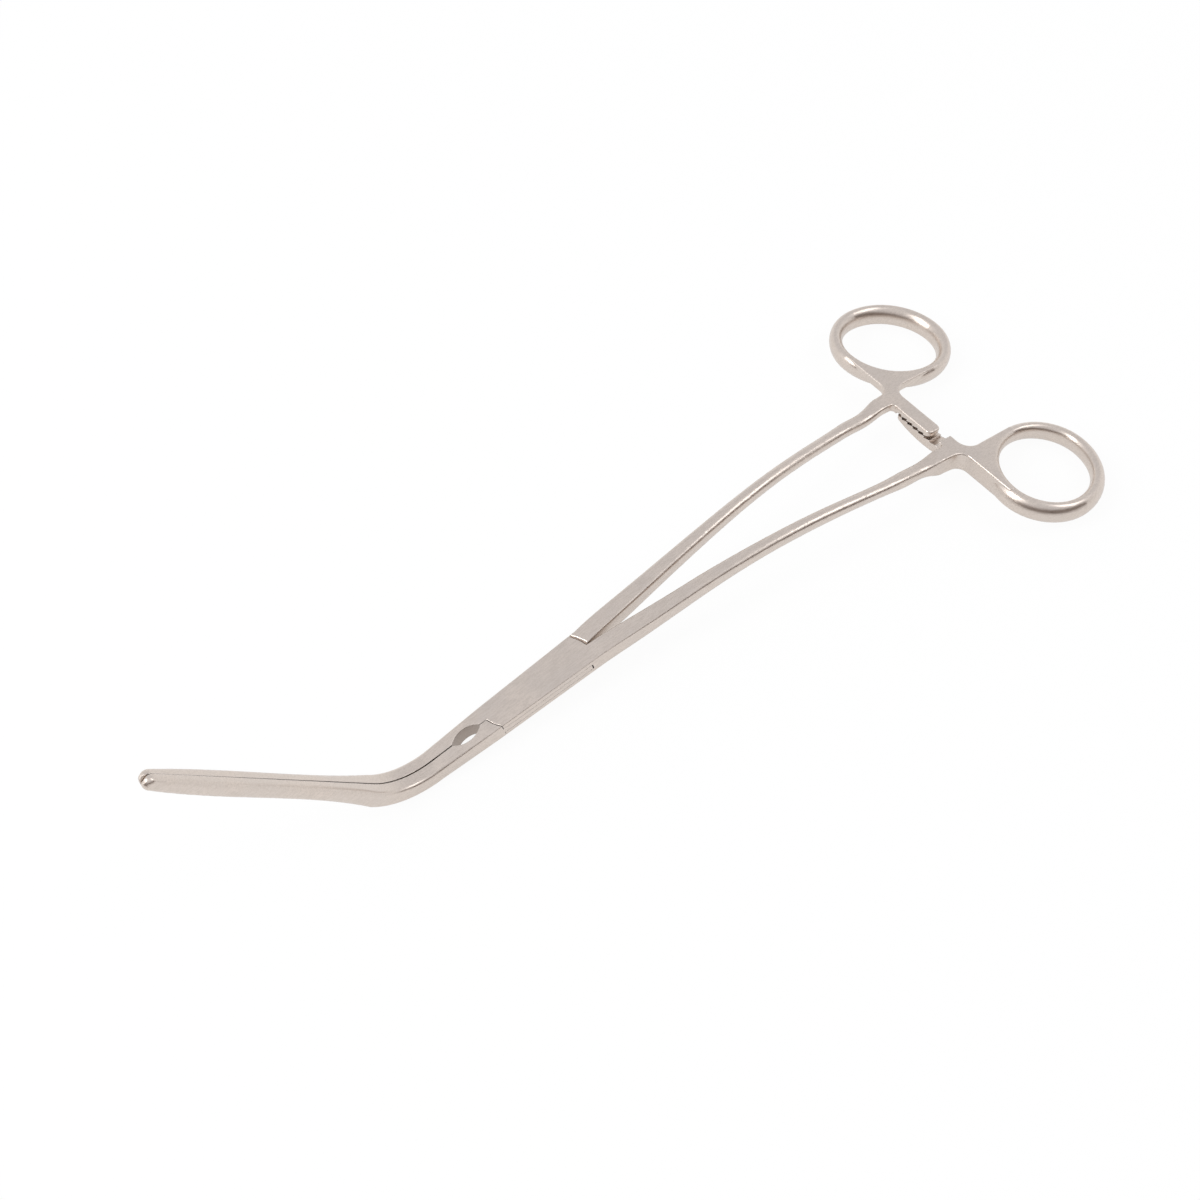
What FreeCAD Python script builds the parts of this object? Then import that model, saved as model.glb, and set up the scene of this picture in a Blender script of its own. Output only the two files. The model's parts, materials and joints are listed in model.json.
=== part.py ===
import FreeCAD, Part
import math
import os

# Angled vascular clamp with a box lock, finger rings, a ratchet and ridged jaws that spare the vessel wall.
# The model is drawn about the hinge pin: X runs from the jaws to the rings, Y across, Z along the pin.
# At the end the whole clamp is tipped until it rests on its rings and on the heel of its jaws.
# Lengths are in millimetres and angles in degrees.

V = FreeCAD.Vector
ORIGIN = V(0, 0, 0)
X_AXIS = V(1, 0, 0)
Y_AXIS = V(0, 1, 0)
Z_AXIS = V(0, 0, 1)

# Box lock
BOX_THICKNESS = 4.5
BOX_HALF_WIDTH = 4.3
BOX_SIDE_SLOPE = 0.028          # growth of the half width for each millimetre towards the rings
BOX_EDGE_ROUND = 0.35
SHOULDER_REACH = 14.4           # pin axis to the point where a shoulder meets the middle line
SHOULDER_SIDE = 11.7            # pin axis to the point where a shoulder meets the side
SHOULDER_BULGE = 0.35           # how far a shoulder curves out from its straight chord
SHOULDER_GAP = 0.2
MORTISE_END_GAP = 0.35          # free length at each end of the tenon, inside the box
SHOULDER_BEVEL = 0.5            # on the shank shoulder of the tenon half
CHEEK_THICKNESS = 1.45
TENON_CLEARANCE = 0.04
SEAM_HALF_GAP = 0.05            # half the line that shows between the two halves at the lock

# Hinge pin, riveted flush
PIN_RADIUS = 1.5
PIN_HEAD_RADIUS = 1.95
PIN_HEAD_DEPTH = 0.45
PIN_CLEARANCE = 0.03

# Relief hole between the jaws, just ahead of the lock
RELIEF_NEAR = 16.3
RELIEF_LENGTH = 8.0
RELIEF_HALF_WIDTH = 1.75

# Heel, where both jaws bend upwards
HEEL_START = 30.2
HEEL_INNER_RADIUS = 15.0
JAW_ANGLE = 59.8
HEEL_WIDTH = 3.4
HEEL_EDGE_ROUND = 1.0

# Jaw blades, from the heel to the tip
JAW_LENGTH = 62.7
JAW_SHOULDER_RUN = 6.0
JAW_SHOULDER_WIDTH = 3.05
JAW_SHOULDER_DEPTH = 4.15
JAW_MIDDLE_WIDTH = 2.6
JAW_MIDDLE_DEPTH = 3.65
JAW_TIP_WIDTH = 1.95
JAW_TIP_DEPTH = 3.35
JAW_EDGE_ROUND = 1.25
JAW_HALF_GAP = 0.17             # half the gap between the blades at the heel
TIP_HALF_GAP = 0.03
TIP_ROUND = 1.6                 # length of the rounded end
TIP_NARROWING = 1.15            # how much a full rounding takes off the outer side
TIP_THINNING = 1.4              # how much it takes off the top and off the underside
TIP_STEPS = 6
TIP_TURN = 80.0                 # how far round the tip its last section lies
TIP_FLARE = 0.35                # share of the narrowing that also opens the biting face

# Ridged teeth on the biting faces
TOOTH_PITCH = 1.0
TEETH_START = 2.0
TEETH_END_MARGIN = 1.6
BITE_MIDDLE = 0.55              # height of the middle of the teeth, on the level blade
GROOVE_WIDTH = 1.1
GROOVE_DEPTH = 0.5
LIP_WIDTH = 0.55
LIP_TOOTH_DEPTH = 0.22
RIB_WIDTH = 0.7
RIB_HEIGHT = 0.4
RIB_TOOTH_DEPTH = 0.2

# Shanks: straight, then one slow bend down into the plane of the rings
SHANK_STRAIGHT = 48.9
SHANK_BEND_RADIUS = 150.0
SHANK_BEND_ANGLE = 15.8
RING_REACH = 44.9               # end of the shank bend to the centre of the rings
HANDLE_RISE = 0.25              # shank and ring middle plane above the middle plane of the lock
# each station: run from the pin, distance from the middle line, width, depth, edge rounding
SHANK_STATIONS = [
    (18.0, 2.72, 4.6, 4.5, 0.37),
    (25.0, 3.35, 4.45, 4.4, 0.5),
    (37.0, 4.4, 4.0, 4.25, 0.85),
    (52.0, 5.7, 3.55, 3.95, 1.1),
    (67.0, 7.25, 3.3, 3.7, 1.3),
    (83.0, 8.9, 3.2, 3.5, 1.4),
    (98.0, 10.2, 3.25, 3.3, 1.3),
]
SHANK_END_DEPTH = 3.1
# each flare station: run, distance from the middle line, width, edge rounding, share of the neck's depth
FLARE_STATIONS = [
    (107.0, 10.55, 3.5, 1.15, 0.1),
    (112.0, 10.85, 3.85, 0.85, 0.5),
]

# Finger rings
RING_OFFSET = 28.0              # middle line of the clamp to the centre of a ring
RING_LONG_RADIUS = 14.35
RING_SHORT_RADIUS = 13.1
RING_WALL = 3.5
RING_DEPTH = 5.5
RING_LEAN = 12.0                # how far the wire section leans out towards the top of the upper half's ring
RING_TILT = 135.0               # direction of a ring's long axis, counted from X

# Neck, the web that joins shank, ring and ratchet arm, flush with the ring
NECK_EDGE_ROUND = 0.5
NECK_START = 19.5               # ring centre to the start of the web, towards the lock
NECK_START_MIDDLE = 11.05       # middle line of the clamp to the middle of the web's start
NECK_START_WIDTH = 4.1
TENON_NECK_LOW = 0.2            # underside of the tenon half's web, thinned so that the other arm can pass
NECK_END = 7.7                  # middle line to the end of the web, where only the arm goes on
NECK_RIM = 0.75                 # half width of the web's ends, which run out inside the ring
TENON_RIM_SHIFT = 0.3           # how far these ends lie further out on the tenon half, whose ring leans out
SHANK_FLARE = 0.5               # how much nearer to the ring the shank's outer side ends
SHANK_FILLET = 2.8              # between shank and ring
ARM_FILLET = 3.5                # between ratchet arm and ring
ARM_ROOT_FILLET = 0.9           # between ratchet arm and shank

# Ratchet: two arms that pass one above the other just ahead of the rings
ARM_WIDTH = 4.1
ARM_OFFSET = 15.05              # ring centre line to the middle of the arms, towards the lock
UPPER_ARM_REACH = 4.3           # how far an arm reaches past the middle line
LOWER_ARM_REACH = 7.3
ARM_CORNER = 1.3
BELLY_ROOT = -1.4               # underside of the lower arm at its root, at its lowest and at its tip
BELLY_LOWEST = -1.85
BELLY_TIP = -0.3
RATCHET_LEVEL = 0.8             # height at which the teeth of the two arms meet
RATCHET_PITCH = 2.0
RATCHET_DEPTH = 0.55
RATCHET_CLEARANCE = 0.2

# Worked out from the values above
HALF_BOX = BOX_THICKNESS / 2
TENON_HALF = HALF_BOX - CHEEK_THICKNESS - TENON_CLEARANCE
MORTISE_HALF = HALF_BOX - CHEEK_THICKNESS
HEEL_CENTRE = V(-HEEL_START, 0, HALF_BOX + HEEL_INNER_RADIUS)
HEEL_OUTER_RADIUS = HEEL_INNER_RADIUS + BOX_THICKNESS
SHANK_CENTRE = V(SHANK_STRAIGHT, 0, HANDLE_RISE - SHANK_BEND_RADIUS)
RING_CENTRE = V(SHANK_STRAIGHT + RING_REACH, RING_OFFSET, HANDLE_RISE)
HANDLE_AXIS_POINT = V(0, 0, HANDLE_RISE)
NECK_TOP = RING_DEPTH / 2
OVAL_SHIFT = (RING_LONG_RADIUS - RING_SHORT_RADIUS) / (2 - math.sqrt(2))
OVAL_END_RADIUS = RING_LONG_RADIUS - OVAL_SHIFT
OVAL_SIDE_RADIUS = RING_SHORT_RADIUS + OVAL_SHIFT
WIRE_END = OVAL_SHIFT / math.sqrt(2)   # where the quarter of the ring nearest to the neck begins and ends
PAST = 1.0                      # how far a cutting tool runs past what it cuts
PITCH_HALVINGS = 40
MEASURING_TOLERANCE = 0.02


# Sections and outlines


def half_width(x):
    """Half width of the lock and of the jaw roots at x."""
    return BOX_HALF_WIDTH + BOX_SIDE_SLOPE * x


def face_of(edges):
    """A flat face from edges that follow each other."""
    return Part.Face(Part.Wire(Part.__sortEdges__(edges)))


def rounded_outline(corners):
    """A closed outline in the XY plane from (point, corner radius) pairs."""
    starts = []
    ends = []
    middles = []
    count = len(corners)
    for index, (corner, radius) in enumerate(corners):
        back = (corners[index - 1][0] - corner).normalize()
        ahead = (corners[(index + 1) % count][0] - corner).normalize()
        half_turn = back.getAngle(ahead) / 2
        run = radius / math.tan(half_turn)
        starts.append(corner + back * run)
        ends.append(corner + ahead * run)
        bisector = (back + ahead).normalize()
        middles.append(corner + bisector * (radius / math.sin(half_turn) - radius))
    edges = []
    for index in range(count):
        if corners[index][1] > 0:
            edges.append(Part.Arc(starts[index], middles[index], ends[index]).toShape())
        edges.append(Part.LineSegment(ends[index], starts[(index + 1) % count]).toShape())
    return edges


def rounded_section(x, y, z, width, depth, radius):
    """A rounded rectangle across X, centred on y and z."""
    corners = []
    for side, rise in ((-1, -1), (1, -1), (1, 1), (-1, 1)):
        corners.append((V(side * width / 2, rise * depth / 2, 0), radius))
    wire = Part.Wire(rounded_outline(corners))
    wire.Placement = FreeCAD.Placement(V(x, y, z), FreeCAD.Rotation(Y_AXIS, Z_AXIS, X_AXIS, "XYZ"))
    return wire


def jaw_section(x, inner, outer, top, depth, radius):
    """A jaw section across X: flat on its biting side, rounded on its outer corners."""
    low = top - depth
    turn = radius * (1 - math.sqrt(0.5))
    points = [
        V(x, inner, low),
        V(x, inner, top),
        V(x, outer - radius, top),
        V(x, outer, top - radius),
        V(x, outer, low + radius),
        V(x, outer - radius, low),
    ]
    upper_turn = V(x, outer - turn, top - turn)
    lower_turn = V(x, outer - turn, low + turn)
    edges = [
        Part.LineSegment(points[0], points[1]).toShape(),
        Part.LineSegment(points[1], points[2]).toShape(),
        Part.Arc(points[2], upper_turn, points[3]).toShape(),
        Part.LineSegment(points[3], points[4]).toShape(),
        Part.Arc(points[4], lower_turn, points[5]).toShape(),
        Part.LineSegment(points[5], points[0]).toShape(),
    ]
    return Part.Wire(edges)


def shoulder_arc(end, side, grow):
    """A shoulder of the lock from the middle line out to a side, as an arc."""
    inner = V(end * (SHOULDER_REACH + grow), 0, 0)
    x = end * (SHOULDER_SIDE + grow)
    outer = V(x, side * (half_width(x) + PAST), 0)
    chord = outer - inner
    bulge = V(end * abs(chord.y), abs(chord.x), 0).normalize() * SHOULDER_BULGE
    bulge.y *= side
    middle = (inner + outer) * 0.5 + bulge
    return Part.Arc(inner, middle, outer).toShape(), inner, outer


def lock_outline(side, grow):
    """Outline of the lock part of a half whose shank lies on the given side."""
    jaw_end, jaw_inner, jaw_outer = shoulder_arc(-1, side, grow)
    shank_end, shank_inner, shank_outer = shoulder_arc(1, -side, grow)
    shank_corner = V(shank_inner.x, side * (half_width(shank_inner.x) + PAST), 0)
    jaw_corner = V(jaw_inner.x, -side * (half_width(jaw_inner.x) + PAST), 0)
    edges = [
        jaw_end,
        Part.LineSegment(jaw_outer, shank_corner).toShape(),
        Part.LineSegment(shank_corner, shank_inner).toShape(),
        shank_end,
        Part.LineSegment(shank_outer, jaw_corner).toShape(),
        Part.LineSegment(jaw_corner, jaw_inner).toShape(),
    ]
    return face_of(edges)


def slab(face, low, high):
    """A flat outline raised from low to high."""
    solid = face.extrude(V(0, 0, high - low))
    solid.translate(V(0, 0, low))
    return solid


# The forging that both halves start from, with its shank on the side of plus Y

def with_true_planes(solid):
    """The same solid, where each flat face of a loft has become a real plane."""
    faces = []
    for face in solid.Faces:
        plane = face.findPlane()
        faces.append(Part.Face(plane, face.OuterWire) if plane else face)
    return Part.Solid(Part.Shell(faces))


def lock_block():
    """The lock part of a half, at full thickness and with rounded sides."""
    ends = []
    for x in (-SHOULDER_REACH, SHOULDER_REACH):
        ends.append(rounded_section(x, 0, 0, 2 * half_width(x), BOX_THICKNESS, BOX_EDGE_ROUND))
    bar = with_true_planes(Part.makeLoft(ends, True, True))
    return bar.common(slab(lock_outline(1, 0), -BOX_THICKNESS, BOX_THICKNESS))


def jaw_root():
    """The straight stretch of a jaw from the lock to the heel."""
    start = -SHOULDER_REACH
    end = -HEEL_START
    sections = [
        jaw_section(start, SEAM_HALF_GAP, half_width(start), HALF_BOX, BOX_THICKNESS, BOX_EDGE_ROUND),
        jaw_section(end, JAW_HALF_GAP, HEEL_WIDTH, HALF_BOX, BOX_THICKNESS, HEEL_EDGE_ROUND),
    ]
    return with_true_planes(Part.makeLoft(sections, True, True))


def jaw_heel():
    """The bend of a jaw, turned about the axis above it."""
    section = jaw_section(-HEEL_START, JAW_HALF_GAP, HEEL_WIDTH, HALF_BOX, BOX_THICKNESS, HEEL_EDGE_ROUND)
    return Part.Face(section).revolve(HEEL_CENTRE, Y_AXIS, JAW_ANGLE)


def blade_gap(run):
    """Distance from the middle line to the biting face, counted along the blade from the heel."""
    share = run / (JAW_LENGTH - TIP_ROUND)
    return JAW_HALF_GAP + (TIP_HALF_GAP - JAW_HALF_GAP) * share


def jaw_blade():
    """The long blade, drawn level ahead of the heel."""
    middle = (JAW_SHOULDER_RUN + JAW_LENGTH) / 2
    tip = JAW_LENGTH - TIP_ROUND
    stations = [
        (0, HEEL_WIDTH, BOX_THICKNESS, HEEL_EDGE_ROUND),
        (JAW_SHOULDER_RUN, JAW_SHOULDER_WIDTH, JAW_SHOULDER_DEPTH, JAW_EDGE_ROUND),
        (middle, JAW_MIDDLE_WIDTH, JAW_MIDDLE_DEPTH, JAW_EDGE_ROUND),
        (tip, JAW_TIP_WIDTH, JAW_TIP_DEPTH, JAW_EDGE_ROUND),
    ]
    sections = []
    for run, width, depth, radius in stations:
        sections.append(jaw_section(-HEEL_START - run, blade_gap(run), width, HALF_BOX, depth, radius))
    return Part.makeLoft(sections, True, False)


def jaw_tip():
    """The rounded end of a blade, opening slightly on its biting side."""
    start = -HEEL_START - JAW_LENGTH + TIP_ROUND
    sections = []
    for step in range(TIP_STEPS + 1):
        turn = math.radians(TIP_TURN * step / TIP_STEPS)
        narrower = TIP_NARROWING * (1 - math.cos(turn))
        thinner = TIP_THINNING * (1 - math.cos(turn))
        x = start - TIP_ROUND * math.sin(turn)
        inner = TIP_HALF_GAP + narrower * TIP_FLARE
        outer = JAW_TIP_WIDTH - narrower
        depth = JAW_TIP_DEPTH - 2 * thinner
        radius = JAW_EDGE_ROUND * depth / JAW_TIP_DEPTH
        sections.append(jaw_section(x, inner, outer, HALF_BOX - thinner, depth, radius))
    return Part.makeLoft(sections, True, False)


def tooth_comb(depth, low, high):
    """A strip of V shaped cutters along the level blade, pointing away from the middle line."""
    first = JAW_SHOULDER_RUN + TEETH_START
    count = int((JAW_LENGTH - TEETH_END_MARGIN - first) / TOOTH_PITCH)
    points = []
    for index in range(count):
        run = first + index * TOOTH_PITCH
        points.append(V(-HEEL_START - run, blade_gap(run), 0))
        half = run + TOOTH_PITCH / 2
        points.append(V(-HEEL_START - half, blade_gap(half) + depth, 0))
    last = first + count * TOOTH_PITCH
    points.append(V(-HEEL_START - last, blade_gap(last), 0))
    points.append(V(-HEEL_START - last, -PAST, 0))
    points.append(V(-HEEL_START - first, -PAST, 0))
    return slab(Part.Face(Part.makePolygon(points + points[:1])), low, high)


def blade_bar(inner, outer, low, high):
    """A straight bar along the toothed length, inner and outer counted from the biting face."""
    first = JAW_SHOULDER_RUN + TEETH_START
    last = JAW_LENGTH - TEETH_END_MARGIN
    points = [
        V(-HEEL_START - first, blade_gap(first) + inner, 0),
        V(-HEEL_START - last, blade_gap(last) + inner, 0),
        V(-HEEL_START - last, blade_gap(last) + outer, 0),
        V(-HEEL_START - first, blade_gap(first) + outer, 0),
    ]
    return slab(Part.Face(Part.makePolygon(points + points[:1])), low, high)


def groove_cutter():
    """What is milled out of the grooved jaw: the long groove and the notches along both its lips."""
    low = BITE_MIDDLE - GROOVE_WIDTH / 2
    high = BITE_MIDDLE + GROOVE_WIDTH / 2
    groove = blade_bar(-PAST, GROOVE_DEPTH, low, high)
    notches = tooth_comb(LIP_TOOTH_DEPTH, low - LIP_WIDTH, high + LIP_WIDTH)
    return groove.fuse(notches)


def bite_rib():
    """The toothed rib that stands on the other jaw and enters the groove, drawn for the side of plus Y."""
    low = BITE_MIDDLE - RIB_WIDTH / 2
    rib = blade_bar(-RIB_HEIGHT, PAST / 2, low, low + RIB_WIDTH)
    comb = tooth_comb(RIB_TOOTH_DEPTH, low - PAST, low + RIB_WIDTH + PAST)
    comb.translate(V(0, -RIB_HEIGHT, 0))
    return rib.cut(comb)


def bend_jaw(shape):
    """Turn what is drawn level ahead of the heel up to the jaw angle."""
    bent = shape.copy()
    bent.rotate(HEEL_CENTRE, Y_AXIS, JAW_ANGLE)
    return bent


def blend(start, end, share):
    """The value that lies this share of the way from start to end."""
    return start + (end - start) * share


def shank(neck_low):
    """The shank on the side of plus Y, from the lock to a neck with its underside at the given level."""
    outer = half_width(SHOULDER_REACH)
    width = outer - SEAM_HALF_GAP
    sections = [rounded_section(SHOULDER_REACH, outer - width / 2, 0, width, BOX_THICKNESS, BOX_EDGE_ROUND)]
    bend_run = SHANK_BEND_RADIUS * math.radians(SHANK_BEND_ANGLE)
    for run, middle, width, depth, radius in SHANK_STATIONS:
        turned = min(max(run - SHANK_STRAIGHT, 0), bend_run)
        section = rounded_section(run - turned, middle, HANDLE_RISE, width, depth, radius)
        section.rotate(SHANK_CENTRE, Y_AXIS, math.degrees(turned / SHANK_BEND_RADIUS))
        sections.append(section)
    end = RING_CENTRE.x + bend_run - NECK_START
    necks = [(run, NECK_START_MIDDLE, NECK_START_WIDTH, NECK_EDGE_ROUND, 1) for run in (end - PAST, end)]
    for run, middle, width, radius, share in FLARE_STATIONS + necks:
        low = blend(-SHANK_END_DEPTH / 2, neck_low, share)
        high = blend(SHANK_END_DEPTH / 2, NECK_TOP, share)
        rise = HANDLE_RISE + (low + high) / 2
        sections.append(bend_handle(rounded_section(run - bend_run, middle, rise, width, high - low, radius)))
    return Part.makeLoft(sections, True, False)


def bend_handle(shape):
    """Turn what is drawn level behind the shank bend down to the ring plane."""
    bent = shape.copy()
    bent.rotate(SHANK_CENTRE, Y_AXIS, SHANK_BEND_ANGLE)
    return bent


def ring_segment(start, shift, radius):
    """A quarter of the oval ring: the wire section turned about one of its four centres."""
    face = Part.Face(Part.Wire(Part.Ellipse(ORIGIN, RING_DEPTH / 2, RING_WALL / 2).toShape()))
    face.rotate(ORIGIN, Y_AXIS, -90)
    face.rotate(ORIGIN, Z_AXIS, -90)
    face.rotate(ORIGIN, Y_AXIS, RING_LEAN)
    face.translate(V(radius, 0, 0))
    face.rotate(ORIGIN, Z_AXIS, start)
    segment = face.revolve(ORIGIN, Z_AXIS, 90)
    middle = math.radians(start + 45)
    segment.translate(V(math.cos(middle), math.sin(middle), 0) * shift)
    return segment


def finger_ring():
    """The oval finger ring, drawn level, with its long axis along the ring tilt."""
    ring = None
    for quarter in range(4):
        end = quarter % 2 == 0
        shift = OVAL_SHIFT if end else -OVAL_SHIFT
        radius = OVAL_END_RADIUS if end else OVAL_SIDE_RADIUS
        segment = ring_segment(RING_TILT - 45 + 90 * quarter, shift, radius)
        ring = segment if ring is None else ring.fuse(segment)
    ring.translate(RING_CENTRE)
    return ring


def rim_edges(shape, levels, ends):
    """The edges of a slab at the given heights, without those in the planes of its ends."""
    found = []
    for edge in shape.Edges:
        box = edge.BoundBox
        off_level = min(abs(box.ZMin - height) for height in levels)
        level = max(box.ZLength, off_level) < SEAM_HALF_GAP
        at_end = False
        for axis, position in ends:
            distances = [abs(vertex.Point.dot(axis) - position) for vertex in edge.Vertexes]
            at_end = at_end or max(distances) < SEAM_HALF_GAP
        if level and not at_end:
            found.append(edge)
    return found


def neck_web(low, shift):
    """The web between shank, ring and ratchet arm, from low to the top, drawn level for the side of plus Y.

    Its outer sides run straight on into the ring, and its inner side follows the hole.
    """
    side = WIRE_END - OVAL_SIDE_RADIUS - NECK_RIM - shift
    end = NECK_END - RING_OFFSET
    shank_inner = NECK_START_MIDDLE - RING_OFFSET - NECK_START_WIDTH / 2
    shank_outer = shank_inner + NECK_START_WIDTH
    arm_far = -ARM_OFFSET - ARM_WIDTH / 2
    arm_near = -ARM_OFFSET + ARM_WIDTH / 2
    corners = [
        (V(-NECK_START, shank_inner, 0), 0),
        (V(arm_far, shank_inner, 0), ARM_ROOT_FILLET),
        (V(arm_far, end, 0), 0),
        (V(arm_near, end, 0), 0),
        (V(arm_near, side, 0), ARM_FILLET),
        (V(WIRE_END, side, 0), 0),
        (V(WIRE_END, WIRE_END, 0), 0),
        (V(side, WIRE_END, 0), 0),
        (V(side, shank_outer + SHANK_FLARE, 0), SHANK_FILLET),
        (V(-NECK_START, shank_outer, 0), 0),
    ]
    hole = Part.Circle(V(WIRE_END, WIRE_END, 0), Z_AXIS, OVAL_SIDE_RADIUS - NECK_RIM + shift).toShape()
    outline = face_of(rounded_outline(corners)).cut(face_of([hole]))
    web = slab(outline.Faces[0], low, NECK_TOP)
    ends = [(X_AXIS, -NECK_START), (X_AXIS, WIRE_END), (Y_AXIS, end), (Y_AXIS, WIRE_END)]
    web = web.makeFillet(NECK_EDGE_ROUND, rim_edges(web, (low, NECK_TOP), ends))
    web.translate(RING_CENTRE)
    return web


def ratchet_notches(first, last):
    """A row of saw shaped notches from first to last along Y, standing on the plane of height zero."""
    count = int((last - first) / RATCHET_PITCH)
    points = [V(0, first, -PAST)]
    for index in range(count):
        y = first + index * RATCHET_PITCH
        points.append(V(0, y, RATCHET_DEPTH))
        points.append(V(0, y + RATCHET_PITCH, 0))
    points.append(V(0, first + count * RATCHET_PITCH, -PAST))
    face = Part.Face(Part.makePolygon(points + points[:1]))
    notches = face.extrude(V(ARM_WIDTH + 2 * PAST, 0, 0))
    notches.translate(V(-ARM_WIDTH / 2 - PAST, 0, 0))
    return notches


def arm_plan(reach):
    """Plan of a ratchet arm that comes from plus Y, with two rounded corners at its tip."""
    half = ARM_WIDTH / 2
    corners = [
        (V(-half, -reach, 0), ARM_CORNER),
        (V(half, -reach, 0), ARM_CORNER),
        (V(half, NECK_END, 0), 0),
        (V(-half, NECK_END, 0), 0),
    ]
    return face_of(rounded_outline(corners))


def upper_arm():
    """Ratchet arm of the tenon half, level, with its teeth underneath."""
    low = RATCHET_LEVEL + RATCHET_CLEARANCE / 2
    arm = slab(arm_plan(UPPER_ARM_REACH), low, NECK_TOP)
    arm = arm.makeFillet(NECK_EDGE_ROUND, rim_edges(arm, (NECK_TOP,), [(Y_AXIS, NECK_END)]))
    notches = ratchet_notches(-UPPER_ARM_REACH, NECK_END)
    notches.translate(V(0, 0, low))
    arm = arm.cut(notches)
    arm.translate(V(RING_CENTRE.x - ARM_OFFSET, 0, HANDLE_RISE))
    return arm


def lower_arm():
    """Ratchet arm of the box half, level, with its teeth on top and a curved belly."""
    high = RATCHET_LEVEL - RATCHET_CLEARANCE / 2
    plan = arm_plan(LOWER_ARM_REACH)
    plan.rotate(ORIGIN, X_AXIS, 180)
    arm = slab(plan, -NECK_TOP, high)
    notches = ratchet_notches(-LOWER_ARM_REACH, NECK_END)
    notches.rotate(ORIGIN, X_AXIS, 180)
    notches.translate(V(0, 0, high))
    arm = arm.cut(notches).cut(belly_cutter())
    arm.translate(V(RING_CENTRE.x - ARM_OFFSET, 0, HANDLE_RISE))
    return arm


def belly_cutter():
    """What lies under the curved belly of the lower arm."""
    half = ARM_WIDTH / 2 + PAST
    root = V(-half, -NECK_END - PAST, BELLY_ROOT)
    tip = V(-half, LOWER_ARM_REACH, BELLY_TIP)
    middle = V(-half, 0, BELLY_LOWEST)
    under = -2 * RING_DEPTH
    edges = [
        Part.Arc(root, middle, tip).toShape(),
        Part.LineSegment(tip, V(-half, tip.y + PAST, BELLY_TIP)).toShape(),
        Part.LineSegment(V(-half, tip.y + PAST, BELLY_TIP), V(-half, tip.y + PAST, under)).toShape(),
        Part.LineSegment(V(-half, tip.y + PAST, under), V(-half, root.y, under)).toShape(),
        Part.LineSegment(V(-half, root.y, under), root).toShape(),
    ]
    return face_of(edges).extrude(V(2 * half, 0, 0))


# The two halves

def mirrored(shape):
    """The same shape on the other side of the middle line."""
    return shape.mirror(ORIGIN, Y_AXIS)


def flipped(shape):
    """The shape turned over about the long axis of the handles."""
    turned = shape.copy()
    turned.rotate(HANDLE_AXIS_POINT, X_AXIS, 180)
    return turned


def relief_cutter():
    """The lens shaped hole between the jaw roots."""
    near = V(-RELIEF_NEAR, 0, 0)
    far = V(-RELIEF_NEAR - RELIEF_LENGTH, 0, 0)
    middle = (near + far) * 0.5
    edges = []
    for side in (1, -1):
        edges.append(Part.Arc(near, middle + V(0, side * RELIEF_HALF_WIDTH, 0), far).toShape())
    return slab(face_of(edges), -BOX_THICKNESS, BOX_THICKNESS)


def shoulder_bevel():
    """What is ground off the shank shoulder of the tenon half, where the cheek of the box meets it."""
    rings = []
    for rise in (-SHOULDER_BEVEL, SHOULDER_BEVEL):
        ring = lock_outline(-1, SHOULDER_GAP + SHOULDER_BEVEL + rise).OuterWire
        ring.translate(V(0, 0, HALF_BOX + rise))
        rings.append(ring)
    bevel = Part.makeLoft(rings, True, True)
    side = 2 * SHOULDER_REACH
    return bevel.common(Part.makeBox(side, side, side, V(0, -SHOULDER_REACH, 0)))


def fused(pieces):
    """One solid from pieces that overlap or share faces."""
    return pieces[0].multiFuse(pieces[1:])


def pin_bore(radius):
    """A round bore on the pin axis, through everything."""
    return Part.makeCylinder(radius, 2 * BOX_THICKNESS, V(0, 0, -BOX_THICKNESS))


def hinge_pin():
    """The riveted pin, with a countersunk head filled flush on both faces."""
    straight = BOX_THICKNESS - 2 * PIN_HEAD_DEPTH
    pin = Part.makeCylinder(PIN_RADIUS, straight, V(0, 0, -straight / 2))
    upper = Part.makeCone(PIN_RADIUS, PIN_HEAD_RADIUS, PIN_HEAD_DEPTH, V(0, 0, straight / 2))
    lower = Part.makeCone(PIN_RADIUS, PIN_HEAD_RADIUS, PIN_HEAD_DEPTH, V(0, 0, -straight / 2), -Z_AXIS)
    return fused([pin, upper, lower]).removeSplitter()


def box_half():
    """The half whose two cheeks hold the pin: back jaw, lower arm and the ring on the side of minus Y."""
    jaw = bend_jaw(fused([jaw_blade(), jaw_tip()]).cut(groove_cutter()))
    lock = mirrored(lock_block())
    mortise = slab(lock_outline(1, MORTISE_END_GAP), -MORTISE_HALF, MORTISE_HALF)
    handle = flipped(fused([finger_ring(), neck_web(-NECK_TOP, 0)]))
    handle = bend_handle(fused([handle, lower_arm()]))
    pieces = [lock, jaw_root(), jaw_heel(), jaw, mirrored(shank(-NECK_TOP)), handle]
    half = fused(pieces).cut(mortise).cut(relief_cutter()).cut(hinge_pin())
    return half.removeSplitter()


def tenon_half():
    """The half whose thin tenon turns on the pin: front jaw, upper arm and the ring on the side of plus Y."""
    jaw = bend_jaw(mirrored(fused([jaw_blade(), jaw_tip(), bite_rib()])))
    cheeks = lock_outline(-1, SHOULDER_GAP)
    above = slab(cheeks, TENON_HALF, BOX_THICKNESS)
    below = slab(cheeks, -BOX_THICKNESS, -TENON_HALF)
    handle = bend_handle(fused([finger_ring(), neck_web(TENON_NECK_LOW, TENON_RIM_SHIFT), upper_arm()]))
    root = mirrored(fused([jaw_root(), jaw_heel()]))
    half = fused([lock_block(), root, jaw, shank(TENON_NECK_LOW), handle])
    half = half.cut(above).cut(below).cut(shoulder_bevel())
    half = half.cut(relief_cutter()).cut(pin_bore(PIN_RADIUS + PIN_CLEARANCE))
    return half.removeSplitter()


# How the clamp lies on a flat surface

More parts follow.
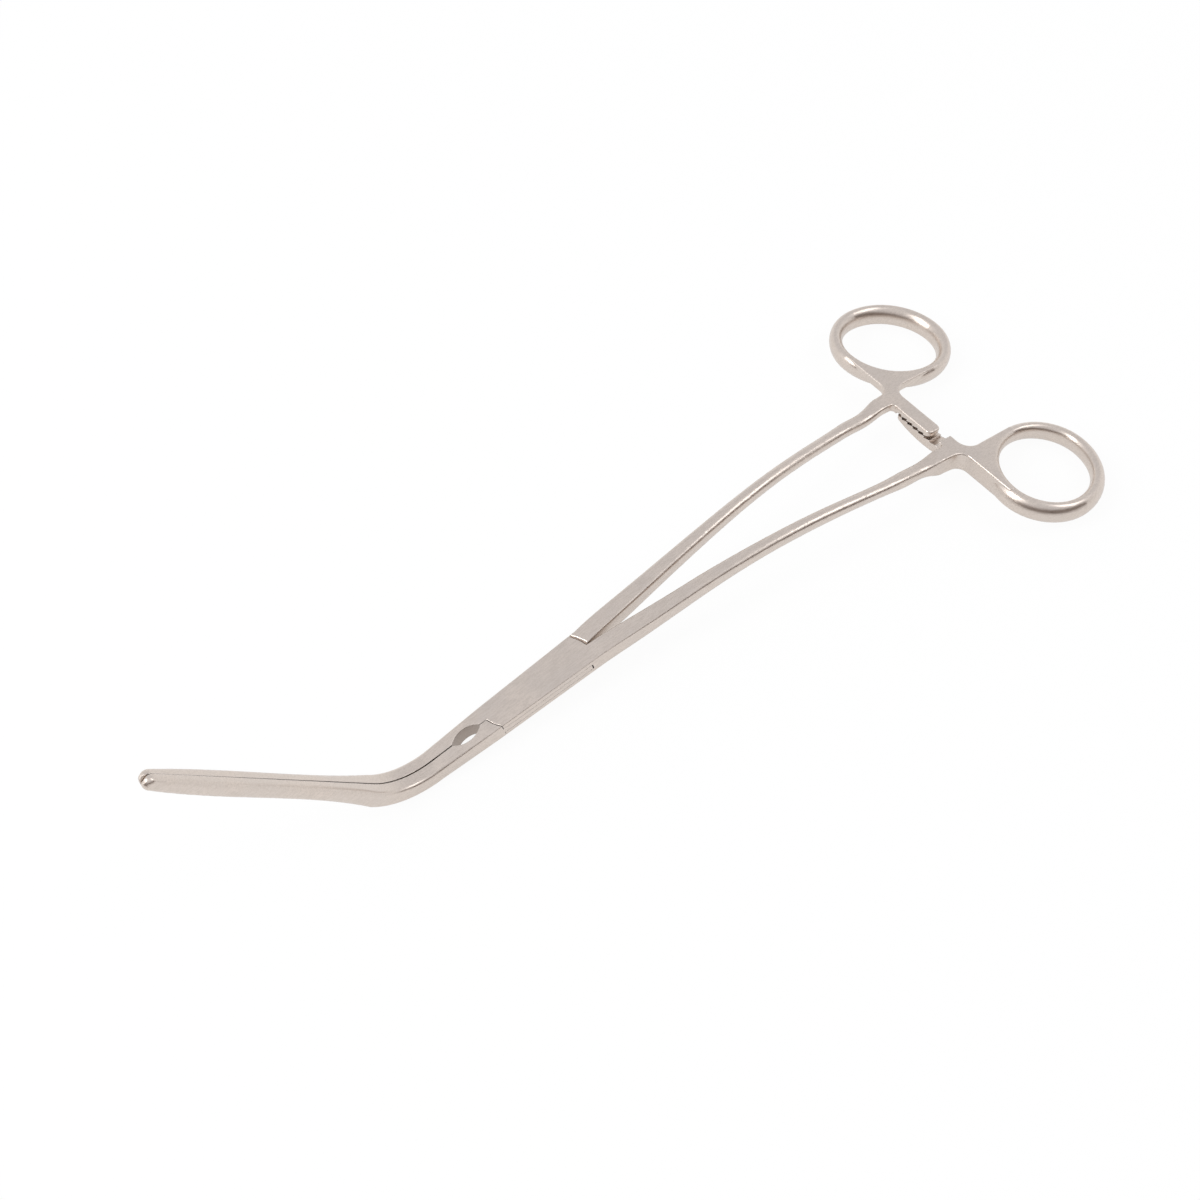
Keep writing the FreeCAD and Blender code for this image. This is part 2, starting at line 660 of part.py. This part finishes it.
def ring_drop(pitch):
    """Lowest point of a ring when the lock is pitched by this angle, before it is set down."""
    tilt = math.radians(SHANK_BEND_ANGLE - pitch)
    lean = math.radians(RING_LEAN)
    path = OVAL_SHIFT / math.sqrt(2) + OVAL_END_RADIUS
    wire = math.hypot(RING_WALL / 2 * math.sin(tilt - lean), RING_DEPTH / 2 * math.cos(tilt - lean))
    centre = bend_handle(Part.Vertex(RING_CENTRE)).Point
    return centre.dot(floor_normal(pitch)) - path * math.sin(tilt) - wire


def heel_drop(pitch):
    """Lowest point of the heel at the same pitch."""
    return HEEL_CENTRE.dot(floor_normal(pitch)) - HEEL_OUTER_RADIUS


def floor_normal(pitch):
    """Upward direction of the floor, seen from the lock."""
    angle = math.radians(pitch)
    return V(math.sin(angle), 0, math.cos(angle))


def rest_pitch():
    """The pitch at which rings and heel touch the floor together, found by halving."""
    low = 0.0
    high = SHANK_BEND_ANGLE
    for _ in range(PITCH_HALVINGS):
        middle = (low + high) / 2
        if ring_drop(middle) < heel_drop(middle):
            low = middle
        else:
            high = middle
    return (low + high) / 2


def main():
    """Build the pieces, lay the clamp down and write one file for each piece."""
    pieces = {"box_half": box_half(), "tenon_half": tenon_half(), "hinge_pin": hinge_pin()}
    pitch = rest_pitch()
    for shape in pieces.values():
        shape.rotate(ORIGIN, Y_AXIS, -pitch)
    corners = []
    for shape in pieces.values():
        corners += shape.tessellate(MEASURING_TOLERANCE)[0]
    middle_x = (max(p.x for p in corners) + min(p.x for p in corners)) / 2
    middle_y = (max(p.y for p in corners) + min(p.y for p in corners)) / 2
    floor = min(p.z for p in corners)
    os.makedirs("parts", exist_ok=True)
    print("pitch", pitch, "lock origin", -middle_x, -middle_y, -floor)
    for name, shape in pieces.items():
        shape.translate(V(-middle_x, -middle_y, -floor))
        shape.exportStep("parts/" + name + ".step")
        print(name, shape.ShapeType, len(shape.Solids), shape.isValid(), shape.Volume)


if __name__ == "__main__":
    main()
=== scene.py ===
import json
import logging
import math
from dataclasses import dataclass, field
from enum import Enum

import bmesh
import bpy
from mathutils import Euler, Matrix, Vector


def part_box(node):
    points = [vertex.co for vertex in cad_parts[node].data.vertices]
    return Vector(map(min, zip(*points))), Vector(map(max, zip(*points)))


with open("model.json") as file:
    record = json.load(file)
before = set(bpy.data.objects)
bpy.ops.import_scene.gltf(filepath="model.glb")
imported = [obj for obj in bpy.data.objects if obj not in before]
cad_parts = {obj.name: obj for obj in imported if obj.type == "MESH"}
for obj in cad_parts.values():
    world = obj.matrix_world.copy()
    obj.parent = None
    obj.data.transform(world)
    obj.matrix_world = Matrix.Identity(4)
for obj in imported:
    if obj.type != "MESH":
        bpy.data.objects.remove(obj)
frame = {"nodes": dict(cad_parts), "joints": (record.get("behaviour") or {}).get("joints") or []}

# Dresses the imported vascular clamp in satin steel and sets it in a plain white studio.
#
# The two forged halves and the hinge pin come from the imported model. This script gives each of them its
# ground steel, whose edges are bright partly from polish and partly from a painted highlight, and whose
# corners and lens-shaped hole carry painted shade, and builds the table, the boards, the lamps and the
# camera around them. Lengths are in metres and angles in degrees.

LOG = logging.getLogger("clamp")
Triple = tuple[float, float, float]
Span = tuple[float, float]
Socket = bpy.types.NodeSocket
WHITE: Triple = (1.0, 1.0, 1.0)
UNTURNED: Triple = (0.0, 0.0, 0.0)
NONE_TO_ALL: Span = (0.0, 1.0)
MILLIMETRE = 0.001
MICROMETRE = 0.000001


class Node(Enum):
    """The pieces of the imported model."""

    BOX_HALF = "box_half"
    TENON_HALF = "tenon_half"
    HINGE_PIN = "hinge_pin"


class Joint(Enum):
    """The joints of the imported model."""

    LOCK_HINGE = "lock_hinge"


class Mixed(Enum):
    """What a mix node blends, by Blender's name for it."""

    COLOUR = "RGBA"
    DIRECTION = "VECTOR"


def hinge_axis() -> tuple[Vector, Vector]:
    """Reads the hinge from the frame.

    Returns:
        A point on the hinge's axis, and the axis's direction.
    """
    hinge = next(joint for joint in frame["joints"] if joint["name"] == Joint.LOCK_HINGE.value)
    return Vector(hinge["pos_m"]), Vector(hinge["axis"]).normalized()


def handle_pitch() -> float:
    """Works out how far the ring end of the clamp dips, from the lean of the hinge's axis."""
    _, axis = hinge_axis()
    return math.degrees(math.atan2(-axis.x, axis.z))


@dataclass
class NodeTree:
    """The nodes of a material or of the world, with short ways to add and join them."""

    owner: bpy.types.ID

    def __post_init__(self) -> None:
        """Clears the owner, ready for its own nodes."""
        self.owner.use_nodes = True
        self.owner.node_tree.nodes.clear()

    def add(self, kind: str, **settings: object) -> bpy.types.Node:
        """Adds a node.

        Args:
            kind: the node's type name in Blender.
            settings: values for the node's own properties.

        Returns:
            The new node.
        """
        node = self.owner.node_tree.nodes.new(kind)
        for name, value in settings.items():
            setattr(node, name, value)
        return node

    def join(self, source: Socket, target: Socket) -> None:
        """Joins an output to an input."""
        self.owner.node_tree.links.new(source, target)

    def feed(self, value: Socket | Vector | tuple[float, ...] | float, target: Socket) -> None:
        """Joins an output to an input, or sets the input to a constant.

        Args:
            value: the output or the constant.
            target: the input.
        """
        if isinstance(value, bpy.types.NodeSocket):
            self.join(value, target)
        else:
            target.default_value = value

    def surface_normal(self) -> Socket:
        """Gives the surface's own normal."""
        return self.add("ShaderNodeNewGeometry").outputs["Normal"]

    def matt(self, colour: Triple) -> Socket:
        """Adds a dull shader of one colour.

        Args:
            colour: the colour.

        Returns:
            The shader.
        """
        shader = self.add("ShaderNodeBsdfDiffuse")
        shader.inputs["Color"].default_value = (*colour, 1.0)
        return shader.outputs["BSDF"]

    def grain(self, where: Socket, per_metre: Triple, turn: Triple, detail: float) -> Socket:
        """Adds noise that is stretched by a different scale along each axis.

        Args:
            where: the place at which the pattern is read.
            per_metre: how many times the pattern repeats in a metre along each axis.
            turn: the pattern's turn about the three axes, in degrees.
            detail: how many finer layers the noise has.

        Returns:
            The noise's value, from 0 to 1.
        """
        turned = self.add("ShaderNodeMapping")
        turned.inputs["Rotation"].default_value = [math.radians(angle) for angle in turn]
        self.join(where, turned.inputs["Vector"])
        stretched = self.add("ShaderNodeMapping")
        stretched.inputs["Scale"].default_value = per_metre
        self.join(turned.outputs["Vector"], stretched.inputs["Vector"])
        noise = self.add("ShaderNodeTexNoise")
        noise.inputs["Scale"].default_value = 1.0
        noise.inputs["Detail"].default_value = detail
        self.join(stretched.outputs["Vector"], noise.inputs["Vector"])
        return noise.outputs["Fac"]

    def remap(self, value: Socket, source: Span, target: Span = NONE_TO_ALL) -> Socket:
        """Spreads one range of values over another.

        Args:
            value: the output that is read.
            source: the two values of it that count.
            target: what they become. Values outside them stay at the nearer end.

        Returns:
            The remapped output.
        """
        spread = self.add("ShaderNodeMapRange")
        spread.inputs["From Min"].default_value = source[0]
        spread.inputs["From Max"].default_value = source[1]
        spread.inputs["To Min"].default_value = target[0]
        spread.inputs["To Max"].default_value = target[1]
        self.join(value, spread.inputs["Value"])
        return spread.outputs["Result"]

    def calculate(self, operation: str, first: Socket, second: Socket | float = 0.0) -> Socket:
        """Adds one step of arithmetic.

        Args:
            operation: the Math node's operation.
            first: the first value.
            second: the second value, where the operation takes two.

        Returns:
            The result.
        """
        step = self.add("ShaderNodeMath", operation=operation)
        self.join(first, step.inputs[0])
        self.feed(second, step.inputs[1])
        return step.outputs["Value"]

    def vector(self, operation: str, first: Socket, second: Socket | Vector | None = None) -> Socket:
        """Adds one step of vector arithmetic.

        Args:
            operation: the Vector Math node's operation.
            first: the first vector.
            second: the second vector, where the operation takes two.

        Returns:
            The result, a vector or a number.
        """
        step = self.add("ShaderNodeVectorMath", operation=operation)
        self.join(first, step.inputs[0])
        if second is not None:
            self.feed(second, step.inputs[1])
        return step.outputs["Value" if operation in ("DOT_PRODUCT", "LENGTH") else "Vector"]

    def blend(
        self,
        share: Socket,
        first: Socket | Triple,
        second: Socket | Triple,
        kind: Mixed = Mixed.COLOUR,
    ) -> Socket:
        """Mixes two colours or two directions.

        Args:
            share: how much of the second there is, from 0 to 1.
            first: the value at 0. A constant is a colour.
            second: the value at 1. A constant is a colour.
            kind: whether they are colours or directions.

        Returns:
            The mixed value.
        """
        mix = self.add("ShaderNodeMix", data_type=kind.value)
        self.join(share, mix.inputs["Factor"])
        for name, value in (("A", first), ("B", second)):
            target = next(entry for entry in mix.inputs if entry.name == name and entry.type == kind.value)
            self.feed(value if isinstance(value, bpy.types.NodeSocket) else (*value, 1.0), target)
        return next(entry for entry in mix.outputs if entry.type == kind.value)

    def finish(self, shader: Socket, kind: str) -> None:
        """Joins the finished shader to the owner's output node."""
        self.join(shader, self.add(kind).inputs["Surface"])


@dataclass(frozen=True)
class HoleWallShade:
    """The lens-shaped hole in front of the lock, whose walls carry a painted shade: a darker colour that
    stands in for the shade inside the hole.

    Attributes:
        reach: how far in front of the pin the hole's middle is.
        half_length: half its length along the clamp.
        half_width: half its width across the clamp.
        rim: where the painted shade begins and where it is whole, as shares of the way out to the rim.
        steepness: the same for how upright a wall is, as the lean of its normal from the hinge's axis.
    """

    reach: float = 20.3 * MILLIMETRE
    half_length: float = 4.8 * MILLIMETRE
    half_width: float = 2.3 * MILLIMETRE
    rim: Span = (1.05, 0.95)
    steepness: Span = (0.7, 0.4)

    def share(self, tree: NodeTree, where: Socket) -> Socket:
        """Finds the walls of the hole.

        Args:
            tree: the material's nodes.
            where: the Object coordinates.

        Returns:
            A share that is 1 on those walls and 0 elsewhere.
        """
        pin, axis = hinge_axis()
        along = Vector((axis.z, 0.0, -axis.x))
        across = Vector((0.0, 1.0, 0.0))
        offset = tree.vector("SUBTRACT", where, pin - along * self.reach)
        oval = tree.add("ShaderNodeCombineXYZ")
        tree.join(tree.vector("DOT_PRODUCT", offset, along / self.half_length), oval.inputs["X"])
        tree.join(tree.vector("DOT_PRODUCT", offset, across / self.half_width), oval.inputs["Y"])
        inside = tree.remap(tree.vector("LENGTH", oval.outputs["Vector"]), self.rim)
        lean = tree.calculate("ABSOLUTE", tree.vector("DOT_PRODUCT", tree.surface_normal(), axis))
        return tree.calculate("MULTIPLY", inside, tree.remap(lean, self.steepness))


@dataclass(frozen=True)
class SatinSteel:
    """Surgical stainless steel: ground along its length, glass beaded and wiped to a soft satin.

    Attributes:
        name: the material's name.
        cool: the colour of one half of the faint patches.
        warm: the colour of the other half.
        edge_polish_and_highlight: the colour of the bright edges, which is partly their real polish and
            partly a painted highlight.
        shaded: the colour in the depths of the grain.
        hole_shade_colour: the colour of the painted shade on the walls of the lens-shaped hole.
        corner_shade_colour: the colour of the painted shade in corners.
        roughness: the roughness of the cool and of the warm patches.
        edge_lean: the cosine of the rounded normal's lean where an edge begins and where it is whole.
        edge_smoothing: how much less rough an edge is.
        grind_per_metre: how many grinding lines there are in a metre across them.
        grind_stretch: how many times longer than wide a line is.
        grind_height: how deep the lines are.
        bead_per_metre: how many bead marks there are in a metre.
        bead_height: how deep the bead marks are.
        fine_detail: how many finer layers the lines and the bead marks have.
        grain_depth: the height of the grain at which its shade begins and is whole.
        cloud_per_metre: how many patches there are in a metre.
        cloud_detail: how many finer layers the patches have.
        cloud_depth: the values of the patches' noise that are wholly cool and wholly warm.
        edge_round: the radius of the broken edges.
        flush_margin: how far round the pin the edges stay unbroken.
        corner_shade_reach: how far from a corner its painted shade reaches.
        corner_shade_openness: how open a place is where the painted shade is strongest and where it ends.
        corner_shade_share: how much of the painted shade's colour those two places have.
        ray_samples: how many rays feel for edges and for corners.
        hole_walls: the walls of the lens-shaped hole, where the shade is painted.
    """

    name: str = "satin_steel"
    cool: Triple = (0.67, 0.60, 0.55)
    warm: Triple = (0.72, 0.635, 0.57)
    edge_polish_and_highlight: Triple = (0.78, 0.71, 0.66)
    shaded: Triple = (0.61, 0.54, 0.485)
    hole_shade_colour: Triple = (0.40, 0.34, 0.30)
    corner_shade_colour: Triple = (0.34, 0.26, 0.21)
    roughness: Span = (0.28, 0.34)
    edge_lean: Span = (0.995, 0.88)
    edge_smoothing: float = 0.08
    grind_per_metre: float = 3200.0
    grind_stretch: float = 7.0
    grind_height: float = 5.0 * MICROMETRE
    bead_per_metre: float = 3600.0
    bead_height: float = 6.0 * MICROMETRE
    fine_detail: float = 2.0
    grain_depth: Span = (0.32, 0.14)
    cloud_per_metre: float = 140.0
    cloud_detail: float = 3.0
    cloud_depth: Span = (0.3, 0.7)
    edge_round: float = 0.30 * MILLIMETRE
    flush_margin: float = 0.5 * MILLIMETRE
    corner_shade_reach: float = 0.9 * MILLIMETRE
    corner_shade_openness: Span = (0.15, 0.6)
    corner_shade_share: Span = (0.7, 0.0)
    ray_samples: int = 4
    hole_walls: HoleWallShade = HoleWallShade()

    def build(self) -> bpy.types.Material:
        """Builds the material.

        Returns:
            The finished material.
        """
        tree = NodeTree(bpy.data.materials.new(self.name))
        where = tree.add("ShaderNodeTexCoord").outputs["Object"]
        rounded = self._rounded_edges(tree, where)
        edges = self._edge_share(tree, rounded)
        clouds = tree.grain(where, (self.cloud_per_metre,) * 3, UNTURNED, self.cloud_detail)
        beads = tree.grain(where, (self.bead_per_metre,) * 3, UNTURNED, self.fine_detail)
        lines = self._lines(tree, where)
        colour = self._colour(tree, clouds, tree.calculate("MULTIPLY", lines, beads), edges)
        # Painted shade: the walls of the lens-shaped hole are darkened, standing in for the shade inside
        # it.
        colour = tree.blend(self.hole_walls.share(tree, where), colour, self.hole_shade_colour)
        shader = tree.add("ShaderNodeBsdfPrincipled")
        shader.inputs["Metallic"].default_value = 1.0
        tree.join(colour, shader.inputs["Base Color"])
        tree.join(self._sheen(tree, clouds, edges), shader.inputs["Roughness"])
        tree.join(self._marks(tree, rounded, beads, lines), shader.inputs["Normal"])
        tree.finish(shader.outputs["BSDF"], "ShaderNodeOutputMaterial")
        return tree.owner

    def _rounded_edges(self, tree: NodeTree, where: Socket) -> Socket:
        """Breaks the sharp edges, as the finishing wheel does, but not round the pin, ground flush.

        Args:
            tree: the material's nodes.
            where: the Object coordinates.

        Returns:
            The normal.
        """
        point, axis = hinge_axis()
        low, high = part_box(Node.HINGE_PIN.value)
        pin_radius = (high[1] - low[1]) / 2
        across = tree.vector("CROSS_PRODUCT", tree.vector("SUBTRACT", where, point), axis)
        flush = pin_radius + self.flush_margin
        share = tree.remap(tree.vector("LENGTH", across), (flush, flush + self.flush_margin))
        broken = tree.add("ShaderNodeBevel", samples=self.ray_samples)
        broken.inputs["Radius"].default_value = self.edge_round
        return tree.blend(share, tree.surface_normal(), broken.outputs["Normal"], Mixed.DIRECTION)

    def _edge_share(self, tree: NodeTree, rounded: Socket) -> Socket:
        """Finds the edges: there the rounded normal leans away from the surface's own.

        Args:
            tree: the material's nodes.
            rounded: the rounded normal.

        Returns:
            A share that is 1 on an edge and 0 away from it.
        """
        lean = tree.vector("DOT_PRODUCT", rounded, tree.surface_normal())
        return tree.remap(lean, self.edge_lean)

    def _colour(self, tree: NodeTree, clouds: Socket, grain: Socket, edges: Socket) -> Socket:
        """Mixes faint patches, fine grain, bright edges, which are partly real polish and partly a painted
        highlight, and a painted shade in corners.

        Args:
            tree: the material's nodes.
            clouds: a soft noise.
            grain: a fine noise.
            edges: the share of edge.

        Returns:
            The colour.
        """
        patches = tree.blend(tree.remap(clouds, self.cloud_depth), self.cool, self.warm)
        ground = tree.blend(tree.remap(grain, self.grain_depth), patches, self.shaded)
        # The edges are brightened: partly the real polish of the edges and partly a painted highlight
        # standing in for the light they catch.
        polished_and_highlit = tree.blend(edges, ground, self.edge_polish_and_highlight)
        # Painted shade: places that ambient occlusion finds enclosed, in corners and creases, are darkened
        # where shade falls.
        openness = tree.add("ShaderNodeAmbientOcclusion", samples=self.ray_samples, only_local=True)
        openness.inputs["Distance"].default_value = self.corner_shade_reach
        corners = tree.remap(openness.outputs["AO"], self.corner_shade_openness, self.corner_shade_share)
        return tree.blend(corners, polished_and_highlit, self.corner_shade_colour)

    def _sheen(self, tree: NodeTree, clouds: Socket, edges: Socket) -> Socket:
        """Varies the roughness with the patches, and smooths it on the edges.

        Args:
            tree: the material's nodes.
            clouds: a soft noise.
            edges: the share of edge.

        Returns:
            The roughness.
        """
        satin = tree.remap(clouds, self.cloud_depth, self.roughness)
        rubbed = tree.calculate("MULTIPLY", edges, self.edge_smoothing)
        return tree.calculate("SUBTRACT", satin, rubbed)

    def _lines(self, tree: NodeTree, where: Socket) -> Socket:
        """Adds the fine lines that the grinding belt leaves along the clamp.

        Args:
            tree: the material's nodes.
            where: the Object coordinates.

        Returns:
            Their height, from 0 to 1.
        """
        fine = self.grind_per_metre
        per_metre = (fine / self.grind_stretch, fine, fine)
        return tree.grain(where, per_metre, (0.0, handle_pitch(), 0.0), self.fine_detail)

    def _marks(self, tree: NodeTree, normal: Socket, beads: Socket, lines: Socket) -> Socket:
        """Presses the bead marks and the grinding lines into the surface.

        Args:
            tree: the material's nodes.
            normal: the rounded normal.
            beads: the height of the bead marks.
            lines: the height of the grinding lines.

        Returns:
            The normal.
        """
        for height, distance in ((beads, self.bead_height), (lines, self.grind_height)):
            bump = tree.add("ShaderNodeBump")
            bump.inputs["Strength"].default_value = 1.0
            bump.inputs["Distance"].default_value = distance
            tree.join(height, bump.inputs["Height"])
            tree.join(normal, bump.inputs["Normal"])
            normal = bump.outputs["Normal"]
        return normal


@dataclass(frozen=True)
class WhitePaper:
    """The paper under the clamp, which looks white to the camera and in the steel.

    Attributes:
        name: the material's name.
        colour: the paper's own colour.
        seen_glow: how much of the paper that the camera sees is plain white. The rest keeps the shadow.
        mirrored_glow: the same for the paper that the steel mirrors.
    """

    name: str = "white_paper"
    colour: Triple = (0.95, 0.95, 0.95)
    seen_glow: float = 0.93
    mirrored_glow: float = 0.70

    def build(self) -> bpy.types.Material:
        """Builds the material.

        Returns:
            The finished material.
        """
        tree = NodeTree(bpy.data.materials.new(self.name))
        glow = tree.add("ShaderNodeEmission")
        glow.inputs["Color"].default_value = (*WHITE, 1.0)
        glow.inputs["Strength"].default_value = 1.0
        path = tree.add("ShaderNodeLightPath").outputs
        through = tree.calculate("MAXIMUM", path["Is Camera Ray"], path["Is Transmission Ray"])
        seen = tree.calculate("MULTIPLY", through, self.seen_glow)
        mirrored = tree.calculate("MULTIPLY", path["Is Glossy Ray"], self.mirrored_glow)
        mix = tree.add("ShaderNodeMixShader")
        tree.join(tree.calculate("MAXIMUM", seen, mirrored), mix.inputs["Fac"])
        tree.join(tree.matt(self.colour), mix.inputs[1])
        tree.join(glow.outputs["Emission"], mix.inputs[2])
        tree.finish(mix.outputs["Shader"], "ShaderNodeOutputMaterial")
        return tree.owner


@dataclass(frozen=True)
class BrownFelt:
    """The dull cloth of the boards behind the camera, which draws soft dark lines in bright steel.

    Attributes:
        name: the material's name.
        colour: the cloth's colour.
    """

    name: str = "brown_felt"
    colour: Triple = (0.20, 0.14, 0.11)

    def build(self) -> bpy.types.Material:
        """Builds the material.

        Returns:
            The finished material.
        """
        tree = NodeTree(bpy.data.materials.new(self.name))
        tree.finish(tree.matt(self.colour), "ShaderNodeOutputMaterial")
        return tree.owner


@dataclass
class Forging:
    """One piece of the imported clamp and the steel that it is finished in.

    Attributes:
        node: the piece.
        finish: its steel.
    """

    node: Node
    finish: SatinSteel

    def dress(self) -> bpy.types.Object:
        """Gives the piece its finish.

        Returns:
            The dressed piece.
        """
        piece = frame["nodes"][self.node.value]
        material = self.finish.build()
        for slot in piece.material_slots:
            slot.material = material
        return piece


@dataclass
class Clamp:
    """The whole instrument: two halves and the pin that joins them.

    Attributes:
        halves: the steel of the two halves.
        pin: the steel of the pin.
    """

    halves: SatinSteel = field(default_factory=SatinSteel)
    pin: SatinSteel = field(default_factory=lambda: SatinSteel(name="pin_steel"))

    def build(self) -> list[bpy.types.Object]:
        """Dresses every piece.

        Returns:
            The dressed pieces.
        """
        forgings = (
            Forging(Node.BOX_HALF, self.halves),
            Forging(Node.TENON_HALF, self.halves),
            Forging(Node.HINGE_PIN, self.pin),
        )
        return [forging.dress() for forging in forgings]


@dataclass(frozen=True)
class SoftLamp:
    """One soft lamp that faces the middle of the clamp.

    Attributes:
        name: the lamp's name.
        place: where its middle hangs.
        width: its width.
        height: its height.
        power: its power in watts.
    """

    name: str
    place: Triple
    width: float
    height: float
    power: float

    def build(self) -> bpy.types.Object:
        """Hangs the lamp.

        Returns:
            The lamp.
        """
        light = bpy.data.lights.new(self.name, "AREA")
        light.shape = "RECTANGLE"
        light.size = self.width
        light.size_y = self.height
        light.energy = self.power
        lamp = bpy.data.objects.new(self.name, light)
        lamp.location = self.place
        lamp.rotation_euler = (-Vector(self.place)).to_track_quat("-Z", "Y").to_euler()
        bpy.context.scene.collection.objects.link(lamp)
        return lamp


@dataclass
class Studio:
    """A white table, low brown boards behind the camera, a white surround and soft lamps.

    Attributes:
        table_side: the length of the table's sides.
        table_gap: how far under the clamp the table lies.
        board_radius: how far from the clamp the boards stand.
        board_low: the height of their lower edge.
        board_high: the height of their upper edge.
        board_start: the angle at which their arc begins, anticlockwise from the X axis.
        board_sweep: the angle that the arc spans.
        board_count: how many boards there are.
        ceiling: the colour of the surround overhead.
        wall_height: how high the surround stays white, as the upward share of a direction.
        ceiling_height: how high the surround has the ceiling's colour, in the same measure.
        lamps: the lamps.
    """

    table_side: float = 6.0
    table_gap: float = 0.2 * MILLIMETRE
    board_radius: float = 2.4
    board_low: float = 0.02
    board_high: float = 1.30
    board_start: float = 165.0
    board_sweep: float = 150.0
    board_count: int = 15
    ceiling: Triple = (0.80, 0.805, 0.825)
    wall_height: float = 0.15
    ceiling_height: float = 0.5
    lamps: tuple[SoftLamp, ...] = (
        SoftLamp("window", (-0.84, 0.24, 0.78), 0.40, 0.85, 5.0),
        SoftLamp("reflector", (0.61, -0.42, 0.87), 0.45, 0.45, 1.5),
    )

    def build(self) -> list[bpy.types.Object]:
        """Builds the surround, the table, the boards and the lamps.

        Returns:
            The table, the boards and the lamps.
        """
        self._surround()
        return [self._table(), self._boards(), *(lamp.build() for lamp in self.lamps)]

    def _stand(self, name: str, build: bmesh.types.BMesh, material: bpy.types.Material) -> bpy.types.Object:
        """Puts a piece of the studio in place.

        Args:
            name: the piece's name.
            build: its mesh, which is freed.
            material: its material.

        Returns:
            The piece.
        """
        mesh = bpy.data.meshes.new(name)
        build.to_mesh(mesh)
        build.free()
        mesh.materials.append(material)
        piece = bpy.data.objects.new(name, mesh)
        bpy.context.scene.collection.objects.link(piece)
        return piece

    def _table(self) -> bpy.types.Object:
        """Lays the white table just under the clamp.

        Returns:
            The table.
        """
        build = bmesh.new()
        bmesh.ops.create_grid(build, x_segments=1, y_segments=1, size=self.table_side / 2)
        bmesh.ops.translate(build, verts=build.verts, vec=(0.0, 0.0, -self.table_gap))
        return self._stand("table", build, WhitePaper().build())

    def _boards(self) -> bpy.types.Object:
        """Stands the boards in an arc. The steel shows them and the camera doesn't.

        Returns:
            The arc of boards.
        """
        build = bmesh.new()
        first = math.radians(self.board_start)
        foot = Vector((self.board_radius * math.cos(first), self.board_radius * math.sin(first), 0.0))
        ends = [build.verts.new(foot + Vector((0.0, 0.0, z))) for z in (self.board_low, self.board_high)]
        bmesh.ops.spin(
            build,
            geom=[*ends, build.edges.new(ends)],
            axis=(0.0, 0.0, 1.0),
            cent=(0.0, 0.0, 0.0),
            angle=math.radians(self.board_sweep),
            steps=self.board_count,
        )
        boards = self._stand("boards", build, BrownFelt().build())
        boards.visible_camera = False
        return boards

    def _surround(self) -> None:
        """Makes the surround white at the horizon and a little greyer overhead."""
        world = bpy.data.worlds.new("surround")
        bpy.context.scene.world = world
        tree = NodeTree(world)
        height = tree.add("ShaderNodeSeparateXYZ")
        tree.join(tree.add("ShaderNodeTexCoord").outputs["Generated"], height.inputs["Vector"])
        share = tree.remap(height.outputs["Z"], (self.wall_height, self.ceiling_height))
        background = tree.add("ShaderNodeBackground")
        background.inputs["Strength"].default_value = 1.0
        tree.join(tree.blend(share, WHITE, self.ceiling), background.inputs["Color"])
        tree.finish(background.outputs["Background"], "ShaderNodeOutputWorld")


@dataclass
class PhotoCamera:
    """The photograph's camera.

    Attributes:
        place: where it stands.
        aim: the point that it looks at.
        roll: its turn about the way it looks.
        lens: its focal length in millimetres.
        sensor: its sensor's width in millimetres.
    """

    place: Triple = (-0.107088, -0.170350, 0.301353)
    aim: Triple = (-0.009651, 0.006402, 0.012662)
    roll: float = -8.904
    lens: float = 45.0
    sensor: float = 36.0

    def build(self) -> bpy.types.Object:
        """Sets the camera up and makes it the scene's own.

        Returns:
            The camera.
        """
        data = bpy.data.cameras.new("photo_camera")
        data.lens = self.lens
        data.sensor_width = self.sensor
        data.clip_start = MILLIMETRE
        camera = bpy.data.objects.new("photo_camera", data)
        place = Vector(self.place)
        level = (Vector(self.aim) - place).to_track_quat("-Z", "Y")
        turn = Euler((0.0, 0.0, math.radians(self.roll))).to_quaternion()
        camera.location = place
        camera.rotation_euler = (level @ turn).to_euler()
        bpy.context.scene.collection.objects.link(camera)
        bpy.context.scene.camera = camera
        return camera


def main() -> None:
    """Builds the clamp, the studio and the camera in turn."""
    logging.basicConfig(level=logging.INFO, format="%(name)s: %(message)s")
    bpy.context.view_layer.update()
    for piece in Clamp().build():
        LOG.info("dressed %s", piece.name)
    for piece in Studio().build():
        LOG.info("placed %s", piece.name)
    LOG.info("placed %s", PhotoCamera().build().name)
    bpy.context.scene.view_settings.view_transform = "Standard"


if __name__ == "__main__":
    main()
